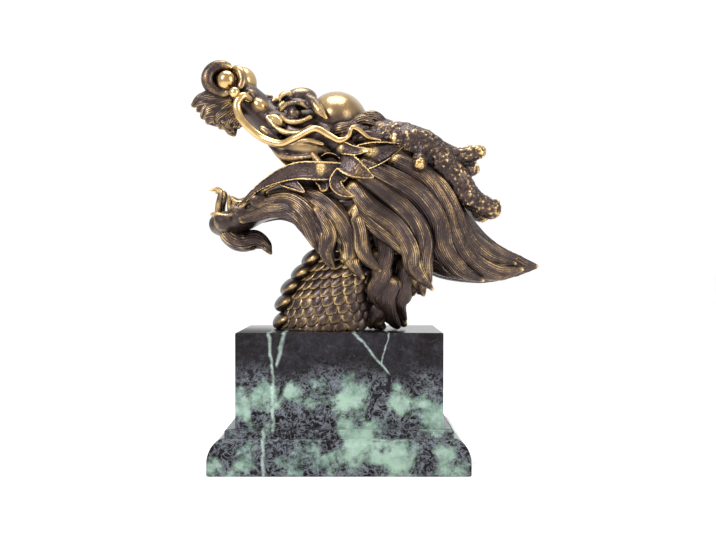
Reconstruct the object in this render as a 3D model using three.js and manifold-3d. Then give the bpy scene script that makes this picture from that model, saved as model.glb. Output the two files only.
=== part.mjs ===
// A bronze dragon head on a moulded marble plinth: a desk-top sculpture about 34 cm tall.
//
// Frame: millimetres, +Z up, the origin at the middle of the plinth's underside. The dragon looks
// towards -X and is symmetrical about the XZ plane, so every paired form is made once, on the -Y
// side, and mirrored in Y.
//
// Two solids: the plinth, turned from one block of stone, and the casting, which is one closed body
// joined from its forms: neck, mane, skull, jaws, horns, ears, whiskers and locks of hair.

import * as THREE from "three";
import { mergeVertices } from "three/addons/utils/BufferGeometryUtils.js";
import Module from "manifold-3d";

const wasm = await Module();
wasm.setup();

// ---------------------------------------------------------------- driving dimensions

const PLINTH = {
  halfX: 83.5, // the upright block
  halfY: 65,
  top: 111.6,
  ledge: 35, // the height at which the block meets its moulding
  fillet: 7.7, // how far the flat strip stands out from the block
  filletHeight: 6.5,
  base: 20.5, // how far the foot stands out from the block
  foot: 10.5, // height of the foot's upright side
  edge: 1.6, // softened edges at the foot and the top
  roundSteps: 6, // facets of the quarter round
};

const SEAT_GAP = 0.3; // between the casting and the stone
const SEAT = PLINTH.top + SEAT_GAP;

// The neck is a stack of level ellipses: height, middle in X, half length in X, half width in Y.
const NECK = [
  [106, -9, 44, 42],
  [122, -8, 44, 43],
  [140, -4, 43, 43],
  [156, 5, 42, 42],
  [172, 15, 40, 40],
  [194, 29, 37, 36],
];

// Scales are a lattice of lozenges on the neck's skin, each with its lower tip standing out.
const SCALES = {
  rows: 9,
  around: 24, // scales in one row, all the way round, an even number
  slope: 5, // how much higher a row lies at the nape than at the throat
  proud: 2.4, // how far the tip stands out from the skin
  sag: 0.55, // how far the tip hangs below the scale's middle, in rows
};

// Smooth belly plates down the throat: their middles in X and Z.
const SCUTES = [[-22, 172], [-31, 160], [-40, 148], [-45, 135], [-46.5, 120]];
const SCUTE = { radii: [12, 26, 7.4], lean: -0.5, sides: 10, rings: 4 };

// The line that the mane is wrapped round, from the jaw joint to the tail of the hair.
const MANE_LINE = [[-25, 0, 225], [20, 0, 232], [60, 0, 210], [95, 0, 182], [150, 0, 166]];

const BRONZE = { color: 0x4a3626, roughness: 0.42, metalness: 1 };
const MARBLE = { color: 0x2b3a34, roughness: 0.2, metalness: 0 };

// ---------------------------------------------------------------- the forms of the casting

// Bodies on the plane of symmetry: a path in X and Z, half widths in Y, half heights across it.
const MIDDLE_BODIES = [
  { // skull and upper jaw
    path: [
      [-104, 316], [-93, 317], [-80, 307], [-66, 295.5], [-50, 284],
      [-28, 275], [0, 271], [32, 261], [62, 248], [84, 232],
    ],
    half: [12, 21, 21, 21, 24, 32, 40, 45, 43, 32],
    high: [9, 14, 14.5, 15.5, 19, 26, 30, 32, 32, 22],
    sides: 10,
    steps: 9,
  },
  { // lower jaw
    path: [[0, 226], [-30, 226], [-50, 221], [-67, 215], [-83, 206], [-98, 201], [-113, 203]],
    half: [44, 40, 34, 27, 22, 17, 8],
    high: [28, 26, 16, 12.5, 12, 12, 8],
    sides: 8,
    steps: 7,
  },
  { // the mass of the mane
    path: [[-34, 216], [0, 222], [40, 222], [72, 202], [100, 180], [128, 168.5], [150, 166], [170, 165]],
    half: [34, 50, 54, 49, 36, 22, 10, 2],
    high: [22, 40, 41, 38, 30, 19, 10, 2],
    sides: 8,
    steps: 8,
  },
  { // goatee
    path: [[-100, 198], [-92, 189], [-82, 186], [-73, 189], [-65, 184], [-59, 175]],
    half: [13, 12, 10, 8, 6, 3],
    high: [6, 8, 8, 8.5, 5, 2],
    sides: 6,
    steps: 7,
  },
  { // tongue
    path: [[-38, 238], [-56, 234], [-72, 226], [-86, 220], [-94, 224]],
    half: [12, 11, 10, 8, 3],
    high: [5, 4.5, 4, 3.5, 1.5],
    sides: 6,
    steps: 6,
  },
];

// Plain round swellings: middle, half sizes, and a lean in the XZ plane in radians.
const MIDDLE_SWELLINGS = [
  { at: [-101.5, 0, 323], radii: [16, 17, 15.5], sides: 10, rings: 6 }, // tip of the nose
  { at: [-87, 0, 320], radii: [14, 15, 16], sides: 8, rings: 6 }, // bridge of the nose
  { at: [-3, 0, 289], radii: [26, 38, 25.5], lean: 0.3, sides: 10, rings: 7 }, // forehead
];
const PAIRED_SWELLINGS = [
  { at: [-95, -17, 321], radii: [9, 8, 9], sides: 6, rings: 4 }, // wing of the nostril
  { at: [-66, -18, 298], radii: [11, 8, 8], lean: 0.7, sides: 7, rings: 4 }, // muzzle
  { at: [-51, -25, 285], radii: [12, 8, 8], lean: 0.5, sides: 7, rings: 4 }, // muzzle, behind
  { at: [-33, -23, 304], radii: [14, 13, 13.5], lean: -0.2, sides: 8, rings: 5 }, // brow
  { at: [-37, -31, 293], radii: [7, 7, 7], sides: 6, rings: 4 }, // eye
  { at: [-19, -33, 293], radii: [9, 8, 11], lean: -0.4, sides: 7, rings: 4 }, // lid
  { at: [-25, -38, 263], radii: [22, 10, 9], lean: 0.3, sides: 6, rings: 4 }, // cheek
  { at: [4, -48, 260], radii: [7, 6, 7], sides: 6, rings: 4 }, // knob of the frill
  { at: [-95, -14, 202], radii: [10, 7, 10], sides: 7, rings: 4 }, // chin
];

// Round limbs on one flank: a path and the radii along it.
const PAIRED_LIMBS = [
  // horn: stem, upper branch, stub, knob
  {
    path: [
      [14, -27, 278], [46, -32, 271], [70, -35, 262], [90, -38, 244], [109, -40, 220], [133, -41, 211],
    ],
    radii: [8, 14, 15, 13, 9.5, 8.5], sides: 8, steps: 10,
  },
  {
    path: [[76, -35, 263], [98, -36, 256], [111, -37, 259], [122, -38, 260]],
    radii: [9, 7.5, 7, 4.5], sides: 6, steps: 5,
  },
  {
    path: [[94, -38, 240], [105, -34, 244], [117, -31, 247]],
    radii: [9, 7, 5.5], sides: 6, steps: 4,
  },
  {
    path: [[66, -42, 254], [65, -55, 249], [64, -68, 245]],
    radii: [8, 6.5, 4], sides: 6, steps: 4,
  },
  // front fang with its flick, the tooth behind it, and the tusk at the corner of the mouth
  {
    path: [[-103, -6, 202], [-103, -12, 216], [-101, -15, 228], [-104, -16, 230], [-110, -17, 229]],
    radii: [4, 3, 2.4, 2, 1], sides: 5, steps: 6,
  },
  {
    path: [[-91, -10, 206], [-93, -15, 217], [-94, -17, 226]],
    radii: [4, 2.6, 0.8], sides: 5, steps: 3,
  },
  {
    path: [[-22, -42, 255], [-14, -47, 247], [-7, -51, 239]],
    radii: [3, 2.4, 0.9], sides: 5, steps: 3,
  },
];

// The -Y whisker. The other one is carried higher along the snout, as hand modelling leaves it.
const WHISKER = {
  path: [
    [-74, -20, 304], [-81, -25, 307], [-86, -27, 300], [-84, -28, 291], [-78, -29, 283],
    [-65, -31, 272], [-48, -38, 266], [-36, -44, 270], [-20, -48, 277], [-8, -50, 271],
    [0, -52, 267], [7, -53, 270], [10, -54, 277], [15, -53, 276], [24, -53, 269], [34, -52, 267],
  ],
  radii: [2.4, 3.6, 3.7, 3.6, 3.5, 3.4, 3.3, 3.2, 3, 2.8, 2.6, 2.2, 2, 1.9, 1.6, 1.2],
  sides: 5,
  steps: 23,
};
const WHISKER_LIFT = 9; // at the snout, fading out towards the eye
const WHISKER_LIFT_END = -10; // X where the two whiskers are alike again

// Flat leaves of the cheek frill, and the ear: half widths seen from the side, half thicknesses.
const PAIRED_LEAVES = [
  // ear
  {
    path: [[8, -46, 252], [20, -54, 253], [36, -60, 256], [52, -66, 262]],
    wide: [5, 9.5, 8, 1.2], thick: [6, 4, 3, 1.2], steps: 5,
  },
  // spike
  {
    path: [[2, -48, 261], [13, -54, 258], [25, -60, 258]],
    wide: [6, 3.2, 0.8], thick: [4, 3, 1], steps: 3,
  },
  // leaf
  {
    path: [[2, -46, 254], [12, -52, 244], [27, -57, 236]],
    wide: [8, 8.5, 1.2], thick: [6, 4, 1.2], steps: 4,
  },
  // hook
  {
    path: [[2, -48, 242], [-3, -51, 232], [0, -53, 226], [10, -55, 221]],
    wide: [6, 5, 4, 1.4], thick: [6, 4, 3, 1.4], steps: 5,
  },
  // band along the lip
  {
    path: [[6, -45, 240], [-14, -46, 241], [-38, -40, 242], [-64, -30, 232]],
    wide: [7, 7.5, 6, 2], thick: [7, 7, 7, 4], steps: 6,
  },
  // barb
  {
    path: [[-44, -37, 239], [-36, -41, 234], [-27, -46, 226]],
    wide: [6, 4.5, 1], thick: [6, 4, 1], steps: 3,
  },
  // lobe
  {
    path: [[-16, -45, 238], [-13, -48, 231], [-12, -49, 225]],
    wide: [7, 4.5, 2.4], thick: [6, 4, 2], steps: 3,
  },
];

// Locks of hair on one flank. They lie on the mane, so their thickness points away from its line.
const PAIRED_LOCKS = [
  // tuft below the nose
  {
    path: [[-90, -8, 306], [-104, -13, 307], [-116, -15, 305], [-127, -15, 300]],
    wide: [8, 8, 6.5, 1.5], thick: [6, 5, 4, 1],
  },
  {
    path: [[-90, -10, 301], [-102, -15, 297], [-111, -17, 294], [-118, -16, 291]],
    wide: [9, 9, 7, 1.5], thick: [6, 5, 4, 1],
  },
  {
    path: [[-86, -10, 298], [-92, -15, 292], [-95, -16, 285], [-93, -15, 279]],
    wide: [7, 8, 5.5, 1.5], thick: [6, 5, 4, 1],
  },
  // along the jaw and down the front of the mane
  {
    path: [[-58, -26, 222], [-37, -38, 219], [-26, -42, 206], [-18, -44, 190], [-17, -42, 175]],
    wide: [7, 9, 9, 8, 2], thick: [5, 7, 7, 6, 2],
  },
  {
    path: [[-30, -40, 228], [-14, -48, 220], [2, -51, 204], [8, -52, 186], [10, -50, 170], [20, -48, 155]],
    wide: [7, 9, 9, 8, 7, 2], thick: [6, 8, 8, 7, 6, 2],
  },
  {
    path: [[-14, -44, 206], [-8, -50, 192], [-9, -48, 176], [-4, -46, 163]],
    wide: [7, 8, 6, 2], thick: [6, 7, 6, 2],
  },
  {
    path: [[16, -52, 208], [18, -56, 188], [22, -54, 172], [34, -50, 161]],
    wide: [7, 7, 6, 2], thick: [6, 8, 7, 2],
  },
  {
    path: [[14, -50, 228], [27, -56, 213], [45, -58, 197], [57, -54, 180], [61, -50, 164], [76, -42, 146]],
    wide: [7, 8, 8, 8, 7, 1.5], thick: [7, 9, 9, 8, 7, 2],
  },
  {
    path: [[20, -52, 238], [42, -58, 221], [59, -58, 203], [67, -52, 186], [67, -47, 170], [74, -40, 151]],
    wide: [7, 8, 8, 8, 8, 2], thick: [7, 8, 8, 8, 7, 3],
  },
  {
    path: [
      [18, -50, 246], [42, -58, 236], [64, -57, 222], [78, -51, 202], [83, -44, 182],
      [98, -34, 164], [120, -25, 153],
    ],
    wide: [7, 8, 9, 9, 9, 8, 2], thick: [7, 8, 8, 8, 8, 7, 2],
  },
  {
    path: [
      [52, -44, 248], [80, -44, 230], [93, -38, 208], [103, -31, 189], [122, -22, 172], [148, -10, 165],
    ],
    wide: [9, 10, 10, 10, 9, 2], thick: [8, 9, 9, 9, 7, 3],
  },
  {
    path: [[68, -22, 236], [90, -18, 212], [106, -12, 190], [126, -8, 177], [150, -4, 168]],
    wide: [8, 9, 9, 8, 2], thick: [8, 8, 8, 7, 3],
  },
  // behind the neck
  {
    path: [[56, -40, 184], [64, -38, 162], [62, -34, 140]],
    wide: [9, 8, 3], thick: [8, 8, 3],
  },
  {
    path: [[56, -34, 172], [52, -33, 150], [48, -30, 134], [54, -26, 120]],
    wide: [11, 10, 9, 3], thick: [8, 8, 6, 2],
  },
  {
    path: [[56, -12, 180], [48, -12, 155], [42, -12, 132], [56, -10, 113]],
    wide: [12, 12, 11, 4], thick: [10, 10, 9, 4],
  },
];

// ---------------------------------------------------------------- solids from three.js geometry

// A closed three.js geometry as a solid: only positions, with shared vertices merged.
function toSolid(geometry) {
  geometry.deleteAttribute("normal");
  geometry.deleteAttribute("uv");
  const merged = mergeVertices(geometry, 1e-4);
  return new wasm.Manifold(
    new wasm.Mesh({
      numProp: 3,
      vertProperties: new Float32Array(merged.attributes.position.array),
      triVerts: new Uint32Array(merged.index.array),
    }),
  );
}

function toGeometry(solid) {
  const mesh = solid.getMesh();
  const geometry = new THREE.BufferGeometry();
  geometry.setAttribute("position", new THREE.BufferAttribute(mesh.vertProperties, 3));
  geometry.setIndex(new THREE.BufferAttribute(mesh.triVerts, 1));
  geometry.computeVertexNormals();
  return geometry;
}

// The value at t, from 0 to 1, of a list of numbers spread evenly.
function along(list, t) {
  const place = THREE.MathUtils.clamp(t, 0, 1) * (list.length - 1);
  const i = Math.min(Math.floor(place), list.length - 2);
  return THREE.MathUtils.lerp(list[i], list[i + 1], place - i);
}

// A sphere's poles become the two ends of a path and its rings the sections across it.
function swept({ path, wide, thick, outward, sides, steps }) {
  const points = path.map(([x, y, z]) => new THREE.Vector3(x, y, z));
  const curve = new THREE.CatmullRomCurve3(points, false, "centripetal");
  const geometry = new THREE.SphereGeometry(1, sides, steps);
  const position = geometry.attributes.position;
  for (let i = 0; i < position.count; i += 1) {
    const t = Math.acos(THREE.MathUtils.clamp(position.getY(i), -1, 1)) / Math.PI;
    const centre = curve.getPoint(t);
    const tangent = curve.getTangent(t);
    const out = outward(centre);
    out.addScaledVector(tangent, -out.dot(tangent)).normalize();
    const across = new THREE.Vector3().crossVectors(out, tangent);
    const turn = Math.atan2(position.getZ(i), position.getX(i));
    const open = t < 1e-6 || t > 1 - 1e-6 ? 0 : 1;
    centre.addScaledVector(across, Math.cos(turn) * along(wide, t) * open);
    centre.addScaledVector(out, Math.sin(turn) * along(thick, t) * open);
    position.setXYZ(i, centre.x, centre.y, centre.z);
  }
  return toSolid(geometry);
}

const flankward = () => new THREE.Vector3(0, -1, 0);

// Away from the line that the mane is wrapped round.
function maneward(place) {
  const segment = new THREE.Line3();
  const nearest = new THREE.Vector3();
  let best = Infinity;
  let away = flankward();
  for (let i = 0; i + 1 < MANE_LINE.length; i += 1) {
    segment.start.fromArray(MANE_LINE[i]);
    segment.end.fromArray(MANE_LINE[i + 1]);
    segment.closestPointToPoint(place, true, nearest);
    const distance = nearest.distanceTo(place);
    if (distance < best) {
      best = distance;
      away = place.clone().sub(nearest);
    }
  }
  return away;
}

function middleBody({ path, half, high, sides, steps }) {
  const spine = path.map(([x, z]) => [x, 0, z]);
  return swept({ path: spine, wide: high, thick: half, outward: flankward, sides, steps });
}

const limb = ({ path, radii, sides, steps }) =>
  swept({ path, wide: radii, thick: radii, outward: flankward, sides, steps });

const leaf = ({ path, wide, thick, steps }) =>
  swept({ path, wide, thick, outward: flankward, sides: 6, steps });

const lock = ({ path, wide, thick }) =>
  swept({ path, wide, thick, outward: maneward, sides: 4, steps: path.length + 2 });

function swelling({ at, radii, lean = 0, sides = 12, rings = 8 }) {
  const geometry = new THREE.SphereGeometry(1, sides, rings);
  geometry.scale(...radii);
  geometry.rotateY(lean);
  geometry.translate(...at);
  return toSolid(geometry);
}

// Joins solids two by two, so that each join stays small.
function joined(solids) {
  let level = solids;
  while (level.length > 1) {
    const next = [];
    for (let i = 0; i < level.length; i += 2) {
      next.push(i + 1 < level.length ? level[i].add(level[i + 1]) : level[i]);
    }
    level = next;
  }
  return level[0];
}

const mirrored = (solid) => solid.mirror([0, 1, 0]);

// ---------------------------------------------------------------- neck with its scales

// The ellipse of the neck at a height: middle, half length, half width.
function neckAt(z) {
  const top = NECK.findIndex((row) => row[0] >= z);
  const i = top < 1 ? (z < NECK[0][0] ? 1 : NECK.length - 1) : top;
  const [z0, ...low] = NECK[i - 1];
  const [z1, ...high] = NECK[i];
  const t = (z - z0) / (z1 - z0);
  return low.map((value, k) => THREE.MathUtils.lerp(value, high[k], t));
}

// A cylinder whose grid is a checkerboard of scale corners and scale tips.
function neckBody() {
  const { rows, around, slope, proud, sag } = SCALES;
  const columns = 2 * around;
  const low = NECK[0][0];
  const pitch = (NECK[NECK.length - 1][0] - low) / rows;
  const geometry = new THREE.CylinderGeometry(1, 1, 1, columns, rows);
  geometry.rotateX(Math.PI / 2);
  const { position } = geometry.attributes;
  const tips = new Set();
  for (let i = 0; i < position.count; i += 1) {
    const [x, y] = [position.getX(i), position.getY(i)];
    const row = Math.round((position.getZ(i) + 0.5) * rows);
    const column = Math.round((Math.atan2(y, x) / (2 * Math.PI)) * columns) + columns;
    const isTip = (row + column) % 2 === 1 && row > 0 && row < rows;
    if (isTip) tips.add(i);
    const level = low + pitch * (isTip ? row - sag : row);
    const [middle, halfX, halfY] = neckAt(level);
    const stand = isTip ? proud : 0;
    position.setXYZ(i, middle + (halfX + stand) * x, (halfY + stand) * y, level + slope * x);
  }
  // Each square of the grid is split between its two scale corners, never between two tips.
  const { index } = geometry;
  for (let at = 0; at < columns * rows * 6; at += 6) {
    const [a, b, d] = [0, 1, 2].map((k) => index.getX(at + k));
    const c = index.getX(at + 4);
    if (tips.has(b) || tips.has(d)) {
      [a, b, c, a, c, d].forEach((corner, k) => index.setX(at + k, corner));
    }
  }
  return toSolid(geometry);
}

// ---------------------------------------------------------------- the two solids

function makeWhiskers() {
  const near = limb(WHISKER);
  const raised = WHISKER.path.map(([x, y, z]) => {
    const share = (WHISKER_LIFT_END - x) / (WHISKER_LIFT_END - WHISKER.path[0][0]);
    return [x, y, z + WHISKER_LIFT * THREE.MathUtils.smoothstep(share, 0, 1)];
  });
  return [near, mirrored(limb({ ...WHISKER, path: raised }))];
}

function makeCasting() {
  const middle = [
    neckBody(),
    ...SCUTES.map(([x, z]) => swelling({ at: [x, 0, z], ...SCUTE })),
    ...MIDDLE_BODIES.map(middleBody),
    ...MIDDLE_SWELLINGS.map(swelling),
  ];
  const flank = joined([
    ...PAIRED_SWELLINGS.map(swelling),
    ...PAIRED_LIMBS.map(limb),
    ...PAIRED_LEAVES.map(leaf),
    ...PAIRED_LOCKS.map(lock),
  ]);
  const whole = joined([...middle, flank, mirrored(flank), ...makeWhiskers()]);
  return toGeometry(whole.trimByPlane([0, 0, 1], SEAT));
}

// How far the plinth's side stands out from the block at each height, from the underside up.
function plinthProfile() {
  const { top, ledge, fillet, filletHeight, base, foot, edge, roundSteps } = PLINTH;
  const roundTop = ledge - filletHeight;
  const profile = [[0, base - edge], [edge, base]];
  for (let i = 0; i <= roundSteps; i += 1) {
    const angle = ((i / roundSteps) * Math.PI) / 2;
    profile.push([
      foot + (roundTop - foot) * Math.sin(angle),
      fillet + (base - fillet) * Math.cos(angle),
    ]);
  }
  profile.push([ledge, fillet], [ledge, 0], [top - edge / 2, 0], [top, -edge / 2]);
  return profile;
}

// A four-sided cylinder whose rings follow the profile, so that the mouldings meet in mitres.
function makePlinth() {
  const profile = plinthProfile();
  const last = profile.length - 1;
  const geometry = new THREE.CylinderGeometry(1, 1, 1, 4, last);
  geometry.rotateX(Math.PI / 2);
  const position = geometry.attributes.position;
  for (let i = 0; i < position.count; i += 1) {
    const [z, outset] = profile[Math.round((position.getZ(i) + 0.5) * last)];
    const onAxis = Math.hypot(position.getX(i), position.getY(i)) < 0.5;
    const turn = Math.atan2(position.getY(i), position.getX(i)) + Math.PI / 4;
    const x = onAxis ? 0 : Math.sign(Math.cos(turn)) * (PLINTH.halfX + outset);
    const y = onAxis ? 0 : Math.sign(Math.sin(turn)) * (PLINTH.halfY + outset);
    position.setXYZ(i, x, y, z);
  }
  return toGeometry(toSolid(geometry));
}

function part(name, geometry, finish) {
  const mesh = new THREE.Mesh(geometry, new THREE.MeshStandardMaterial(finish));
  mesh.name = name;
  return mesh;
}

const sculpture = new THREE.Group();
sculpture.add(part("plinth", makePlinth(), MARBLE));
sculpture.add(part("dragon_bust", makeCasting(), BRONZE));

export default sculpture;
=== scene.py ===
"""A bronze dragon head, dark patina worn to gold on its ridges, on a plinth of green marble.

Lengths in the tables are millimetres. The dragon looks towards -X and its near flank is -Y, so a
paired form is given once, on the -Y side, and made again for the other flank.
"""

import math

import bmesh
import bpy
import numpy as np
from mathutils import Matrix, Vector, noise


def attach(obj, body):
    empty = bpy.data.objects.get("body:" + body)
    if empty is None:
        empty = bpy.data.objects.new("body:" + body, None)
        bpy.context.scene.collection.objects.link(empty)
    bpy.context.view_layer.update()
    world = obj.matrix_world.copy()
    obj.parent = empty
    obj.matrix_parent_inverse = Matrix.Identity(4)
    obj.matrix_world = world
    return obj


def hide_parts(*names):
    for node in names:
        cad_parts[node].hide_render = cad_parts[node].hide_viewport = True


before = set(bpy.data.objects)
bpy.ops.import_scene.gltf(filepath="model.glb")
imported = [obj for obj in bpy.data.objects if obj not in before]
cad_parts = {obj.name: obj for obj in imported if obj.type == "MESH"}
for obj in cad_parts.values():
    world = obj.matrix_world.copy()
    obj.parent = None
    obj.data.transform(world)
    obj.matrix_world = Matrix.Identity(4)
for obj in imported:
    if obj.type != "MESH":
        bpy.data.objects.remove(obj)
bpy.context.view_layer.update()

MM = 0.001
TO_MM = 1000.0
TINY = 1e-6  # keeps a division away from zero

# ---------------------------------------------------------------- driving dimensions, in mm

PLINTH = {
    "half_x": 83.5, "half_y": 65.0, "top": 111.6,
    "ledge": 35.0,  # where the upright block meets its moulding
    "fillet": 7.7, "fillet_height": 6.5,
    "base": 20.5,  # how far the foot stands out from the block
    "foot": 10.5, "edge": 1.6,
    "round_steps": 20,
}
SEAT = PLINTH["top"] + 0.3  # the casting rests on this level

# The neck is a stack of level ellipses: height, middle in X, half length in X, half width in Y.
NECK = np.array([
    [111.9, -8.7, 43, 41.5], [122, -8, 43, 42], [140, -4, 42, 42], [156, 5, 41, 41],
    [172, 15, 39, 39], [194, 29, 36, 35],
])
SCALE = {
    "around": 28, "rows": 11, "pitch": 7.6,
    "first": 3.0,  # height of the lowest row over the seat
    "width": 10.6, "length": 11.6, "proud": 2.4,
    "slope": 5.0,  # how much higher a row lies at the nape than at the throat
    "root": 0.1, "sunk": 0.75,  # share of the height at the root, and what isn't bedded in the neck
    "point": 0.22, "keel": 0.3, "keel_width": 0.2,
    "crown": 1.2, "underside": 2.4,
}
# Belly plates down the throat: middle in X and Z, and the half sizes and lean that all share.
SCUTES = [(-22, 172), (-31, 160), (-40, 148), (-45, 135), (-46.5, 120)]
SCUTE_RADII, SCUTE_LEAN = (12.5, 26, 7.6), -0.5

# The line that the mane is wrapped round, from the jaw joint to the tail of the hair.
MANE_LINE = np.array([[-25, 0, 225], [20, 0, 232], [60, 0, 210], [95, 0, 182], [150, 0, 166]], float)

# ---------------------------------------------------------------- the forms of the head

# Bodies on the plane of symmetry: a path in X and Z, half widths in Y, half heights across it.
SKULL = {
    "path": [(-104, 316), (-93, 317), (-80, 307), (-66, 295.5), (-50, 284), (-28, 275), (0, 271),
             (32, 261), (62, 248), (84, 232)],
    "half": [12, 18, 19, 20, 24, 32, 40, 45, 43, 32],
    "high": [9, 14, 14, 14.5, 18, 25, 30, 31, 30, 20],
}
JAW = {
    "path": [(0, 226), (-30, 226), (-50, 221), (-67, 215), (-83, 206), (-98, 201), (-113, 203)],
    "half": [44, 40, 33, 26, 21, 16, 7],
    "high": [28, 26, 15, 11.5, 11, 11, 7],
}
MANE = {
    "path": [(-34, 216), (0, 222), (40, 222), (72, 202), (100, 180), (128, 168.5), (150, 166),
             (170, 165)],
    "half": [34, 49, 53, 47, 34, 20, 9, 1.2],
    "high": [22, 39, 40, 37, 28, 17, 9, 1.2],
}
GOATEE = {
    "path": [(-102, 199), (-92, 189), (-82, 186), (-73, 188), (-65, 184), (-59, 175)],
    "half": [13, 12, 10, 8, 6, 1.5],
    "high": [6, 8, 8, 8, 5, 1],
}
TONGUE = {
    "path": [(-38, 238), (-56, 234), (-72, 226), (-86, 220), (-95, 225)],
    "half": [12, 11, 10, 8, 3],
    "high": [5, 4.5, 4, 3.2, 1.5],
}

# Round swellings that are melted into the head: middle, half sizes, lean in the XZ plane.
MIDDLE_SWELLINGS = [
    ((-101.5, 0, 322), (14.5, 14, 14.5), 0),  # tip of the nose
    ((-86, 0, 321), (14, 14, 15.5), 0.5),  # bridge of the nose
    ((-3, 0, 289), (26, 38, 25.5), 0.3),  # forehead
]
PAIRED_SWELLINGS = [
    ((-68, -15, 300), (9, 8, 6.5), 0.8),  # muzzle
    ((-53, -22, 286), (10, 8, 6), 0.6),  # muzzle, behind
    ((-76, -14, 309), (7, 7, 6), 0.9),  # muzzle, in front
    ((-33, -24, 305), (14, 11, 9.5), -0.1),  # brow
    ((-38, -29, 292), (6.5, 6, 6.5), 0),  # eye
    ((-27, -37, 262), (21, 8.5, 7.5), 0.18),  # cheek
    ((-56, -28, 272), (15, 6, 5), 0.7),  # upper lip
    ((4, -48, 260), (7, 6, 7), 0),  # knob of the frill
]

# Rolled rims and folds that are melted into the head: a path, and the radii along it.
HEAD_ROLLS = [
    ([(-92, -9, 334), (-101, -12, 335), (-109, -13, 331), (-112, -14, 323), (-108, -14, 315),
      (-99, -15, 311), (-91, -17, 313)], [3, 5, 5.6, 5.8, 5.4, 4.4, 3]),  # rim of the nostril
    ([(-91, -10, 333), (-85, -15, 330), (-82, -18, 321), (-85, -20, 313)], [3, 4, 4, 3]),
    ([(-50, -27, 302), (-48, -31, 307), (-42, -33, 308), (-40, -33, 303), (-44, -34, 300)],
     [2, 2.6, 2.4, 2, 1.4]),  # curl of the brow
    ([(-50, -27, 295), (-42, -33, 300), (-32, -36, 300), (-24, -37, 295)], [2, 2.8, 2.8, 2]),
    ([(-50, -28, 291), (-42, -33, 285), (-31, -36, 285), (-22, -38, 289)], [1.6, 2.4, 2.6, 2]),
    ([(-28, -31, 305), (-22, -36, 300), (-16, -41, 292), (-10, -44, 285)],
     [4, 5, 4, 1.2]),  # end of the lid
    ([(-62, -26, 291), (-50, -31, 278), (-34, -37, 275), (-22, -41, 281)], [2, 2.6, 2.6, 1.6]),
    ([(-60, -22, 275), (-46, -36, 263), (-28, -45, 268), (-12, -46, 264)], [2, 3, 2.6, 1.6]),
    ([(-60, -22, 268), (-46, -34, 256), (-30, -42, 254), (-18, -45, 256)], [2, 3, 3, 2]),
]
NOSTRIL_BALLS = [((-96, -17.5, 321.5), (8, 7, 8.5)), ((-88, -27, 310), (4.5, 4, 4.5))]

# Tufts of short fur up the bridge, and the short strokes of hair behind the forehead.
BRIDGE_FUR = [
    [(-66, -5, 304), (-61, -6, 309), (-57, -6, 310)], [(-60, -9, 300), (-55, -11, 306), (-50, -12, 306)],
    [(-58, -3, 300), (-53, -4, 305), (-48, -5, 305)], [(-54, -13, 295), (-49, -16, 301), (-45, -17, 301)],
]
NAPE_FUR = [
    [(-8, -38, 276), (2, -43, 278), (14, -42, 283)], [(0, -41, 272), (12, -44, 276), (24, -42, 279)],
    [(8, -36, 281), (19, -38, 285), (30, -36, 282)], [(14, -28, 284), (24, -30, 289), (36, -28, 285)],
    [(10, -42, 268), (22, -44, 271), (36, -42, 271)], [(16, -18, 288), (28, -19, 291), (40, -17, 286)],
    [(18, -6, 289), (30, -7, 291), (42, -6, 285)],
]
BRIDGE_WIDE, BRIDGE_THICK = [2, 3, 0.8], [2.5, 3, 0.8]
NAPE_WIDE, NAPE_THICK = [3, 5, 0.8], [3, 4.5, 0.8]

JAW_SWELLINGS = [
    ((-97, -13, 203), (10, 7, 9), 0.2),  # chin
    ((-84, -18, 211), (10, 6, 8), 0.7),  # lip
    ((-66, -26, 219), (12, 6, 8), 0.5),  # lip, behind
]
LIP_ROLL = [(-110, -8, 209), (-104, -15, 209), (-93, -19, 208), (-80, -23, 217), (-66, -28, 227),
            (-50, -33, 235), (-34, -38, 240)]
LIP_RADII = [2, 2.6, 2.6, 2.6, 2.6, 2.4, 2]
TEETH = [
    ([(-103, -6, 202), (-103, -12, 216), (-101, -15, 228), (-104, -16, 230), (-110, -17, 229)],
     [4, 3, 2.4, 2, 0.8]),  # hooked tusk at the tip of the jaw
    ([(-91, -10, 206), (-93, -15, 217), (-94, -17, 226)], [4, 2.6, 0.6]),
    ([(-23, -42, 258), (-15, -50, 248), (-8, -54, 240)], [3.2, 2.6, 0.6]),  # tusk of the upper jaw
]

# Horns on one flank: a path and the radii along it.
HORN_LIMBS = [
    ([(14, -27, 278), (46, -32, 271), (70, -35, 262), (90, -38, 244), (109, -40, 220),
      (126, -41, 212), (133, -41, 212)], [8, 14, 15, 13, 9.5, 8, 7]),
    ([(76, -35, 263), (98, -36, 256), (111, -37, 259), (121, -38, 260)], [9, 7.2, 6.4, 5.4]),
    ([(94, -38, 240), (105, -34, 244), (116, -31, 247)], [9, 6.6, 5.4]),
    ([(66, -42, 254), (65, -55, 249), (64, -66, 245)], [8, 6.2, 4.4]),
    ([(124, -41, 213), (129, -42, 217), (131, -42, 219)], [6, 4, 3]),
    ([(40, -33, 272), (46, -45, 268), (48, -47, 267)], [8, 5, 3]),
]

# One skin over the forms of a piece: the size of its voxels in mm, and rounds of softening.
HEAD_SKIN, JAW_SKIN, FRILL_SKIN, HORN_SKIN = (1.08, 2), (1.1, 3), (0.6, 2), (1.05, 4)

# Roughness of the cast skin: height and size in mm.
FRILL_PITS = (0.16, 1.5)
HORN_SWELLS, HORN_LUMPS, HORN_BEADS = (0.9, 9), (0.7, 3.2), (0.25, 2.2)

# First seed of the strands on each kind of hair.
SEEDS = {"locks": 20, "mane_core": 7, "nape_fur": 140, "goatee": 5, "tuft": 80}

# ---------------------------------------------------------------- curves and sections


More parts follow.
